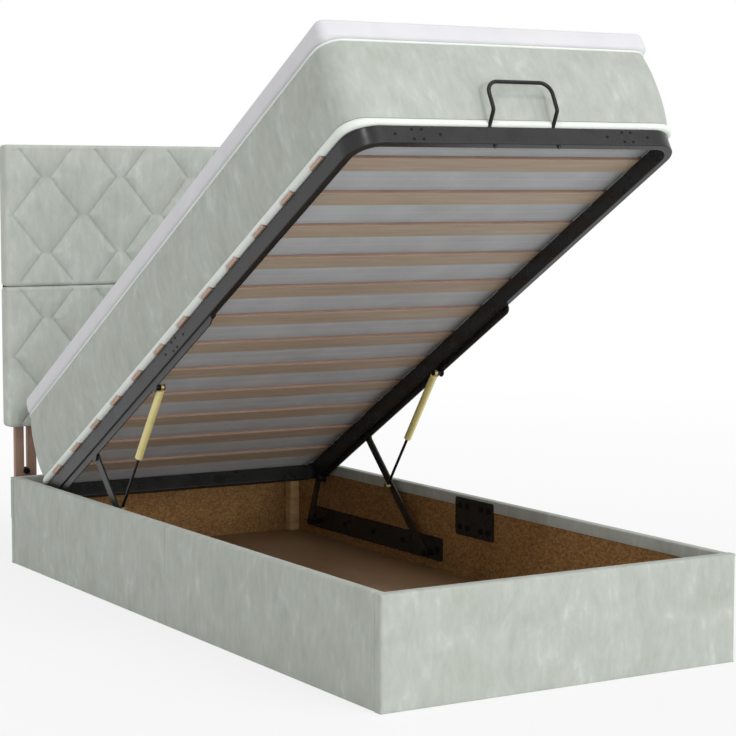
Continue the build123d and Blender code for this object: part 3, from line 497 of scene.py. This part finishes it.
# Shapes
def piece_of(name, mesh, body, slot_name, material, *nodes, sharp=40):
    """A finished piece that rides on its body and stands for the nodes."""
    piece = bpy.data.objects.new(name, mesh)
    bpy.context.scene.collection.objects.link(piece)
    mesh.materials.clear()
    mesh.materials.append(material)
    mesh.shade_smooth()
    mesh.set_sharp_from_angle(angle=radians(sharp))
    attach(piece, body)
    if nodes:
        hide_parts(*nodes)
    return piece


def mesh_of(name, shape):
    """Turns a shape into a mesh with its faces outwards."""
    bmesh.ops.recalc_face_normals(shape, faces=shape.faces)
    mesh = bpy.data.meshes.new(name)
    shape.to_mesh(mesh)
    shape.free()
    return mesh


def block(low, high):
    shape = bmesh.new()
    low, high = Vector(low), Vector(high)
    place = Matrix.Translation((low + high) / 2) @ Matrix.Diagonal((*(high - low), 1.0))
    bmesh.ops.create_cube(shape, size=1.0, matrix=place)
    return shape


def cut_up(shape, axis, start, end, step):
    """Cuts the shape's faces at even steps along an axis."""
    normal = Vector([1.0 if index == axis else 0.0 for index in range(3)])
    count = max(1, round((end - start) / step))
    for index in range(1, count):
        place = normal * (start + (end - start) * index / count)
        geometry = shape.verts[:] + shape.edges[:] + shape.faces[:]
        bmesh.ops.bisect_plane(shape, geom=geometry, plane_co=place, plane_no=normal)


def round_off(shape, radius, segments, wanted):
    """Rounds the edges whose middle and direction pass the test."""
    edges = []
    for edge in shape.edges:
        middle = (edge.verts[0].co + edge.verts[1].co) / 2
        run = (edge.verts[1].co - edge.verts[0].co).normalized()
        if wanted(middle, run):
            edges.append(edge)
    bmesh.ops.bevel(
        shape,
        geom=edges,
        offset=radius,
        offset_type="OFFSET",
        segments=segments,
        profile=0.5,
        material=-1,
        affect="EDGES",
    )


def carved(name, shape, cutters):
    """The shape less each block, as a mesh."""
    bmesh.ops.recalc_face_normals(shape, faces=shape.faces)
    whole = bpy.data.objects.new(name + "_whole", mesh_of(name + "_whole", shape))
    bpy.context.scene.collection.objects.link(whole)
    tools = []
    for low, high in cutters:
        tool = bpy.data.objects.new("cutter", mesh_of("cutter", block(low, high)))
        bpy.context.scene.collection.objects.link(tool)
        cut = whole.modifiers.new("cut", "BOOLEAN")
        cut.operation = "DIFFERENCE"
        cut.solver = "EXACT"
        cut.object = tool
        tools.append(tool)
    bpy.context.view_layer.update()
    view = bpy.context.evaluated_depsgraph_get()
    mesh = bpy.data.meshes.new_from_object(whole.evaluated_get(view))
    mesh.name = name
    for used in (whole, *tools):
        old_mesh = used.data
        bpy.data.objects.remove(used)
        bpy.data.meshes.remove(old_mesh)
    return mesh


def ease(value):
    """Runs smoothly from 0 to 1."""
    value = min(1.0, max(0.0, value))
    return value * value * (3 - 2 * value)


# Storage box covers: velvet over a thin pad, drawn over the rim and down inside
cover_step = 0.024
pad_swell = 0.0014
rim_radius = 0.007
hem_radius = 0.0035
side_end_radius = 0.003
foot_end_radius = 0.007
cut_spare = 0.01
cut_overlap = 0.0005
beyond_side = 0.6


def near(value, target):
    return abs(value - target) < 0.0005


def cover_block(low, high, axis, outer, ends):
    """The pad's outer form: soft rim and corners, and a face that swells a little."""
    shape = block(low, high)
    run_axis = 1 - axis
    inner = low[axis] if outer == high[axis] else high[axis]
    round_off(
        shape,
        rim_radius,
        5,
        lambda middle, run: abs(run[run_axis]) > 0.9
        and near(middle[axis], outer)
        and near(middle.z, high[2]),
    )
    round_off(
        shape,
        hem_radius,
        3,
        lambda middle, run: abs(run[run_axis]) > 0.9
        and (near(middle.z, high[2]) and near(middle[axis], inner))
        or abs(run[run_axis]) > 0.9
        and near(middle.z, low[2])
        and near(middle[axis], outer),
    )
    for end, radius in ends:
        round_off(
            shape,
            radius,
            4,
            lambda middle, run: abs(run.z) > 0.9
            and near(middle[axis], outer)
            and near(middle[run_axis], end),
        )
    cut_up(shape, run_axis, low[run_axis], high[run_axis], cover_step)
    cut_up(shape, 2, low[2], high[2], cover_step)
    outwards = 1 if outer > inner else -1
    for vertex in shape.verts:
        if near(vertex.co[axis], outer):
            edge_room = min(
                vertex.co[run_axis] - low[run_axis],
                high[run_axis] - vertex.co[run_axis],
                vertex.co.z - low[2],
                high[2] - vertex.co.z,
            )
            swell = pad_swell * ease(edge_room / 0.05)
            sway = 0.0007 * noise.noise(vertex.co * 9) * ease(edge_room / 0.03)
            vertex.co[axis] += outwards * (swell + sway)
    return shape


for side_name, side in (("left", -1), ("right", 1)):
    for half_name in ("foot", "head"):
        node = f"side_cover_{side_name}_{half_name}"
        low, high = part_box(node)
        panel_low, panel_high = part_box(f"side_panel_{side_name}_{half_name}")
        outer = high[0] if side > 0 else low[0]
        inner = low[0] if side > 0 else high[0]
        panel_inner = panel_low[0] if side > 0 else panel_high[0]
        recess_x = sorted((inner - side * cut_spare, panel_inner + side * cut_overlap))
        cover = piece_of(
            f"velvet_side_{side_name}_{half_name}",
            carved(
                node,
                cover_block(
                    low, high, 0, outer, ((low[1], side_end_radius), (high[1], side_end_radius))
                ),
                (
                    (
                        (panel_low[0], low[1] - cut_spare, panel_low[2]),
                        (panel_high[0], high[1] + cut_spare, panel_high[2]),
                    ),
                    (
                        (recess_x[0], low[1] - cut_spare, -cut_spare),
                        (recess_x[1], high[1] + cut_spare, box_rim - flap_drop),
                    ),
                ),
            ),
            "storage_box",
            "velvet",
            box_velvet,
            node,
        )

side_inner = abs(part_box("side_cover_right_foot")[0][0])
for end_name, inwards in (("foot", 1), ("head", -1)):
    node = f"{end_name}_cover"
    low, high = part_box(node)
    panel_low, panel_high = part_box(f"{end_name}_panel")
    outer = low[1] if inwards > 0 else high[1]
    inner = high[1] if inwards > 0 else low[1]
    panel_inner = panel_high[1] if inwards > 0 else panel_low[1]
    recess_y = sorted((panel_inner - inwards * cut_overlap, inner + inwards * cut_spare))
    corner_cuts = [
        (
            (min(side * side_inner, side * beyond_side), recess_y[0], -cut_spare),
            (max(side * side_inner, side * beyond_side), recess_y[1], box_rim + cut_spare),
        )
        for side in (-1, 1)
    ]
    cover = piece_of(
        f"velvet_{end_name}",
        carved(
            node,
            cover_block(
                low, high, 1, outer, ((low[0], foot_end_radius), (high[0], foot_end_radius))
            ),
            (
                (panel_low, panel_high),
                (
                    (-beyond_side, recess_y[0], -cut_spare),
                    (beyond_side, recess_y[1], box_rim - flap_drop),
                ),
                *corner_cuts,
            ),
        ),
        "storage_box",
        "velvet",
        box_velvet,
        node,
    )

# The flap's hem: one row of stitches a little above its lower edge
stitch_pitch = 0.009
stitch_end_gap = 0.004
stitch_height = box_rim - flap_drop + 0.0045
stitch_reach = Vector((0.0026, 0.0006, 0.0006))
hem = bmesh.new()


def stitch_row(start, end):
    """Small round stitches laid end to end between two points."""
    start, end = Vector(start), Vector(end)
    count = int((end - start).length / stitch_pitch)
    turn = (end - start).to_track_quat("X", "Z").to_matrix().to_4x4()
    for index in range(count):
        place = start.lerp(end, (index + 0.5) / count)
        shape_place = Matrix.Translation(place) @ turn @ Matrix.Diagonal((*stitch_reach, 1.0))
        bmesh.ops.create_icosphere(hem, subdivisions=1, radius=1.0, matrix=shape_place)


foot_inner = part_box("foot_cover")[1][1]
head_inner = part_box("head_cover")[0][1]
for side in (-1, 1):
    x = side * side_inner
    stitch_row(
        (x, foot_inner + stitch_end_gap, stitch_height),
        (x, head_inner - stitch_end_gap, stitch_height),
    )
for y in (foot_inner, head_inner):
    stitch_row(
        (-side_inner + stitch_end_gap, y, stitch_height),
        (side_inner - stitch_end_gap, y, stitch_height),
    )
piece_of("rim_stitches", mesh_of("rim_stitches", hem), "storage_box", "velvet", stitch_thread)


# Cushions: a crowned face with rounded corners, rolled edges and sides
def spaced(index, count, half, zone, zone_cells):
    """Grid lines from -half to half, closer together within the corner zone."""
    if index <= zone_cells:
        return -half + zone * index / zone_cells
    if index >= count - zone_cells:
        return half - zone * (count - index) / zone_cells
    return (half - zone) * (2 * (index - zone_cells) / (count - 2 * zone_cells) - 1)


def outwards_at(place, half_x, half_y, radius):
    """The direction away from the middle line of a rounded outline."""
    nearest = Vector(
        (
            max(-half_x + radius, min(half_x - radius, place.x)),
            max(-half_y + radius, min(half_y - radius, place.y)),
            0.0,
        )
    )
    away = Vector((place.x, place.y, 0.0)) - nearest
    return away.normalized()


def cushion(width, length, corner, edge, step, crown, rows, turned_in):
    """A cushion about the origin, its face upwards at z = 0.

    crown(x, y) is the face's height. rows are (reach, depth) of the loops below
    the rolled edge, and turned_in the loops that close it behind.
    """
    half_x, half_y = width / 2 - edge, length / 2 - edge
    zone = corner - edge
    zone_cells = 4
    count_x = 2 * zone_cells + round(2 * (half_x - zone) / step)
    count_y = 2 * zone_cells + round(2 * (half_y - zone) / step)
    shape = bmesh.new()
    bmesh.ops.create_grid(shape, x_segments=count_x, y_segments=count_y, size=1.0)
    home = shape.verts.layers.float_vector.new("home")
    for vertex in shape.verts:
        x = spaced(round((vertex.co.x + 1) / 2 * count_x), count_x, half_x, zone, zone_cells)
        y = spaced(round((vertex.co.y + 1) / 2 * count_y), count_y, half_y, zone, zone_cells)
        out_x = max(0.0, abs(x) - (half_x - zone)) / zone
        out_y = max(0.0, abs(y) - (half_y - zone)) / zone
        if out_x > 0 and out_y > 0:
            round_x = out_x * (1 - out_y * out_y / 2) ** 0.5
            round_y = out_y * (1 - out_x * out_x / 2) ** 0.5
            x = (half_x - zone + zone * round_x) * (1 if x > 0 else -1)
            y = (half_y - zone + zone * round_y) * (1 if y > 0 else -1)
        vertex.co = (x, y, crown(x, y))
        vertex[home] = vertex.co
    rim = [item for item in shape.edges if item.is_boundary]
    roll = [
        (edge * sin(pi / 2 * index / 6), edge * (1 - cos(pi / 2 * index / 6)))
        for index in range(1, 7)
    ]
    for reach, depth in roll + rows + turned_in:
        grown = bmesh.ops.extrude_edge_only(shape, edges=rim)["geom"]
        rim = [item for item in grown if isinstance(item, bmesh.types.BMEdge)]
        for vertex in grown:
            if isinstance(vertex, bmesh.types.BMVert):
                start = vertex[home]
                way = outwards_at(start, half_x, half_y, zone)
                sag = start.z * max(0.0, 1 - depth / edge)
                vertex.co = Vector((start.x, start.y, 0.0)) + way * reach
                vertex.co.z = sag - depth
    bmesh.ops.edgeloop_fill(shape, edges=rim)
    shape.verts.layers.float_vector.remove(home)
    return shape


# Headboard: two padded panels with a diamond pattern of sewn channels
board_lows = {name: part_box(f"headboard_pad_{name}") for name in ("lower", "upper")}
diamond_half_width = 0.1167
diamond_half_height = 0.109
diamond_gap = 0.028
sewn_edge_gap = 0.014
pad_corner = 0.0125
pad_edge = 0.0105
pad_step = 0.003
pad_turn = 0.003
pad_hollow = 0.0135
crease_depth, crease_width = 0.0042, 0.0028
valley_depth, valley_width = 0.0056, 0.016


def sewn_lines(half_width, half_height):
    """The sewn zigzags of one panel about its middle, side by side over a gap."""
    lines = []
    columns = int(half_width // diamond_half_width) + 1
    for row in range(-2, 2):
        for column in range(-columns, columns):
            rising = (row + column) % 2 == 0
            start = Vector(
                (
                    diamond_half_width * column + diamond_gap / 2,
                    diamond_half_height * (row if rising else row + 1),
                )
            )
            end = Vector(
                (
                    diamond_half_width * (column + 1) - diamond_gap / 2,
                    diamond_half_height * (row + 1 if rising else row),
                )
            )
            first, last = 0.0, 1.0
            for axis, limit in ((0, half_width - sewn_edge_gap), (1, half_height - sewn_edge_gap)):
                run = end[axis] - start[axis]
                reaches = sorted(((-limit - start[axis]) / run, (limit - start[axis]) / run))
                first, last = max(first, reaches[0]), min(last, reaches[1])
            if last - first > 0.1:
                lines.append((start.lerp(end, first), start.lerp(end, last)))
    return lines


def distance_to(place, line):
    start, end = line
    run = end - start
    share = max(0.0, min(1.0, (place - start).dot(run) / run.length_squared))
    return (place - start.lerp(end, share)).length


for panel_name, (low, high) in board_lows.items():
    width, height = high[0] - low[0], high[2] - low[2]
    middle_x, middle_z = (low[0] + high[0]) / 2, (low[2] + high[2]) / 2
    lines = sewn_lines(width / 2, height / 2)

    def quilted(x, y):
        place = Vector((x, y))
        gap = min(distance_to(place, line) for line in lines)
        dip = crease_depth * exp(-((gap / crease_width) ** 2))
        dip += valley_depth * exp(-((gap / valley_width) ** 2))
        seed = 7.0 if panel_name == "upper" else 0.0
        sway = 0.0006 * noise.noise(Vector((x * 14, y * 14, seed)))
        return sway - dip

    depth = high[1] - low[1]
    shape = cushion(
        width,
        height,
        pad_corner,
        pad_edge,
        pad_step,
        quilted,
        [(pad_edge, pad_edge + (depth - pad_edge) * index / 4) for index in range(1, 5)],
        [(pad_turn, depth), (pad_turn, pad_hollow)],
    )
    upright = Matrix.Translation((middle_x, low[1], middle_z)) @ Matrix.Rotation(pi / 2, 4, "X")
    shape.transform(upright)
    pad = piece_of(
        f"quilted_pad_{panel_name}",
        mesh_of(f"quilted_pad_{panel_name}", shape),
        "headboard",
        "velvet",
        headboard_velvet_painted_lighter,
        f"headboard_pad_{panel_name}",
        sharp=60,
    )

# Lining cloth stretched over the headboard's back, with its staples
low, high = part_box("headboard_back_cover")
lining_inset = 0.004
lining_corner = 0.008
lining_step = 0.03
lining = block(
    (low[0] + lining_inset, high[1] - 0.0016, low[2] + lining_inset),
    (high[0] - lining_inset, high[1] - 0.0004, high[2] - lining_inset),
)
round_off(lining, lining_corner, 4, lambda middle, run: abs(run.y) > 0.9)
cut_up(lining, 0, low[0], high[0], lining_step)
cut_up(lining, 2, low[2], high[2], lining_step)
for vertex in lining.verts:
    sway = noise.noise(Vector((vertex.co.x * 6, 0.0, vertex.co.z * 6)))
    vertex.co.y -= 0.0006 * (1 + sway)
lining_piece = piece_of(
    "back_lining",
    mesh_of("back_lining", lining),
    "headboard",
    "black_cloth",
    lining_cloth,
    "headboard_back_cover",
)

staples = bmesh.new()
staple_pitch = 0.045
staple_inset = 0.012
back = high[1] - 0.0008
for axis in (0, 2):
    other = 2 - axis
    for edge_place in (low[other] + staple_inset, high[other] - staple_inset):
        span = high[axis] - low[axis] - 2 * staple_inset
        count = int(span / staple_pitch)
        for index in range(count + 1):
            run = low[axis] + staple_inset + span * index / count
            place = Vector((0.0, back, 0.0))
            place[axis], place[other] = run, edge_place
            reach = [0.0006, 0.0006, 0.0006]
            reach[axis] = 0.0055
            bmesh.ops.create_icosphere(
                staples,
                subdivisions=1,
                radius=1.0,
                matrix=Matrix.Translation(place) @ Matrix.Diagonal((*reach, 1.0)),
            )
piece_of("lining_staples", mesh_of("lining_staples", staples), "headboard", "zinc", dark_zinc)


# Mattress
def slat_gap(u):
    """How far a place along the mattress lies from the nearest slat."""
    nearest = round((u - slat_first) / slat_pitch)
    nearest = max(0, min(slat_count - 1, nearest))
    return abs(u - slat_first - nearest * slat_pitch) - slat_half


core_shrink = 0.008
core_corner = 0.042
core_edge = 0.008
core_step = 0.011
core_side_height = 0.186
core_top = 0.198
core_turn = 0.004
core_bulge = 0.0035
core_length = mattress_length - 2 * core_shrink
core_middle = Matrix.Translation((0.0, -mattress_length / 2, slat_top))
underside = cushion(
    2 * (mattress_half - core_shrink),
    core_length,
    core_corner,
    core_edge,
    core_step,
    lambda x, y: core_bulge
    * ease(slat_gap(mattress_length / 2 + y) / 0.022)
    * ease((mattress_half - abs(x)) / 0.06),
    [(core_edge, core_edge + core_side_height * index / 4) for index in range(1, 5)],
    [(core_turn, core_top)],
)
underside.transform(platform @ core_middle @ Matrix.Rotation(pi, 4, "X"))
core = piece_of(
    "mattress_body",
    mesh_of("mattress_body", underside),
    "platform",
    "mattress_fabric",
    mattress_ticking,
    "mattress_core",
    sharp=60,
)

topper_low_w, topper_thickness = mattress_top, 0.057
topper_width, topper_length, topper_head_inset = 0.885, 1.966, 0.015
topper_play = 0.004
topper_corner = 0.020
topper_edge = 0.013
topper_step = 0.016
topper_middle = Matrix.Translation(
    (0.0, -topper_head_inset - topper_length / 2, topper_low_w + topper_thickness)
)


def topper_crown(x, y):
    """Slightly domed, with the shallow waves of a soft foam."""
    room = min(topper_width / 2 - abs(x), topper_length / 2 - abs(y))
    dome = -0.0035 * (1 - ease(room / 0.16))
    return dome + 0.0012 * noise.noise(Vector((x * 5, y * 5, 3.0))) * ease(room / 0.05)


topper_shape = cushion(
    topper_width - topper_play,
    topper_length - topper_play,
    topper_corner,
    topper_edge,
    topper_step,
    topper_crown,
    [(0.0145, 0.022), (0.0152, 0.034), (0.015, 0.045), (0.0135, 0.049), (0.0095, 0.053)],
    [(0.006, 0.0565), (0.002, 0.057)],
)
topper_shape.transform(platform @ topper_middle)
topper = piece_of(
    "soft_topper",
    mesh_of("soft_topper", topper_shape),
    "platform",
    "white_fabric",
    topper_cloth,
    "topper",
    sharp=60,
)


def band(loops, step=0.011):
    """A closed band round the mattress. Each loop gives its reach and height at a place."""
    shape = bmesh.new()
    place = Matrix.Diagonal((mattress_half, mattress_length / 2, 1.0, 1.0))
    bmesh.ops.create_grid(shape, x_segments=1, y_segments=1, size=1.0, matrix=place)
    bmesh.ops.bevel(
        shape,
        geom=shape.verts[:],
        offset=mattress_corner,
        offset_type="OFFSET",
        segments=10,
        profile=0.5,
        material=-1,
        affect="VERTICES",
    )
    bmesh.ops.delete(shape, geom=shape.faces[:], context="FACES_ONLY")
    for axis, half in ((0, mattress_half), (1, mattress_length / 2)):
        long_edges = [
            edge
            for edge in shape.edges
            if abs(edge.verts[0].co[axis] - edge.verts[1].co[axis]) > half
        ]
        bmesh.ops.subdivide_edges(shape, edges=long_edges, cuts=round(2 * half / step))
    home = shape.verts.layers.float_vector.new("home")
    for vertex in shape.verts:
        vertex[home] = vertex.co
    first = rim = shape.edges[:]
    lowest = loops[0]
    for vertex in shape.verts:
        settle(vertex, vertex[home], lowest)
    for loop in loops[1:]:
        grown = bmesh.ops.extrude_edge_only(shape, edges=rim)["geom"]
        rim = [item for item in grown if isinstance(item, bmesh.types.BMEdge)]
        for vertex in grown:
            if isinstance(vertex, bmesh.types.BMVert):
                settle(vertex, vertex[home], loop)
    bmesh.ops.bridge_loops(shape, edges=first + rim)
    shape.verts.layers.float_vector.remove(home)
    shape.transform(platform @ Matrix.Translation((0.0, -mattress_length / 2, 0.0)))
    return shape


def settle(vertex, start, loop):
    way = outwards_at(start, mattress_half, mattress_length / 2, mattress_corner)
    reach, height = loop(start, mattress_length / 2 - start.y)
    vertex.co = start + way * reach
    vertex.co.z = height


border_low, border_high = 0.0, 0.190
border_rows = 18
border_swell = 0.0085
border_step = 0.0004


def border_loop(share):
    """One loop of the velvet border, which swells between its two seams."""
    height = border_low + (border_high - border_low) * share
    bulge = border_swell * (1 - abs(2 * share - 1) ** 2.6)

    def loop(start, u):
        sway = noise.noise(Vector((start.x * 9, start.y * 9, share * 1.6)))
        pucker = noise.noise(Vector((start.x * 55, start.y * 55, 5.0)))
        tight = ease((0.12 - min(share, 1 - share)) / 0.12)
        return bulge + 0.0011 * sway * (1 - tight) + 0.0005 * pucker * tight, height

    return loop


def inner_loop(height):
    return lambda start, u: (-core_shrink + border_step, height)


border_shape = band(
    [border_loop(index / border_rows) for index in range(border_rows + 1)]
    + [inner_loop(border_high), inner_loop((border_high + border_low) / 2), inner_loop(border_low)]
)
border = piece_of(
    "velvet_border",
    mesh_of("velvet_border", border_shape),
    "platform",
    "border_velvet",
    border_velvet,
    "mattress_border",
    sharp=60,
)

cord_sides = 16
roll_radius = 0.0105
roll_reach, roll_height = -0.0045, -0.0107
roll_drop = 0.0085
roll_step = 0.004
slat_clearance = 0.0003


def bottom_roll(index):
    """One loop of the bottom piping: a round roll that each slat's end cuts into."""
    angle = 2 * pi * index / cord_sides

    def loop(start, u):
        on_side = abs(start.x) > mattress_half - mattress_corner / 2
        free = ease(slat_gap(u) / 0.004) if on_side else 1.0
        lowest = slat_top + slat_clearance - roll_drop * free
        height = roll_height + roll_radius * sin(angle)
        return roll_reach + roll_radius * cos(angle), max(lowest, height)

    return loop


def top_cord(index):
    angle = 2 * pi * index / cord_sides
    return lambda start, u: (0.0004 + 0.0032 * cos(angle), 0.1921 + 0.0029 * sin(angle))


roll_shape = band([bottom_roll(index) for index in range(cord_sides)], roll_step)
roll_mesh = mesh_of("piping_roll", roll_shape)
piece_of(
    "piping_roll", roll_mesh, "platform", "piping", piping_cloth, "mattress_piping", sharp=60
)
cord_mesh = mesh_of("top_piping", band([top_cord(index) for index in range(cord_sides)]))
piece_of("top_piping", cord_mesh, "platform", "piping", piping_cloth, sharp=60)
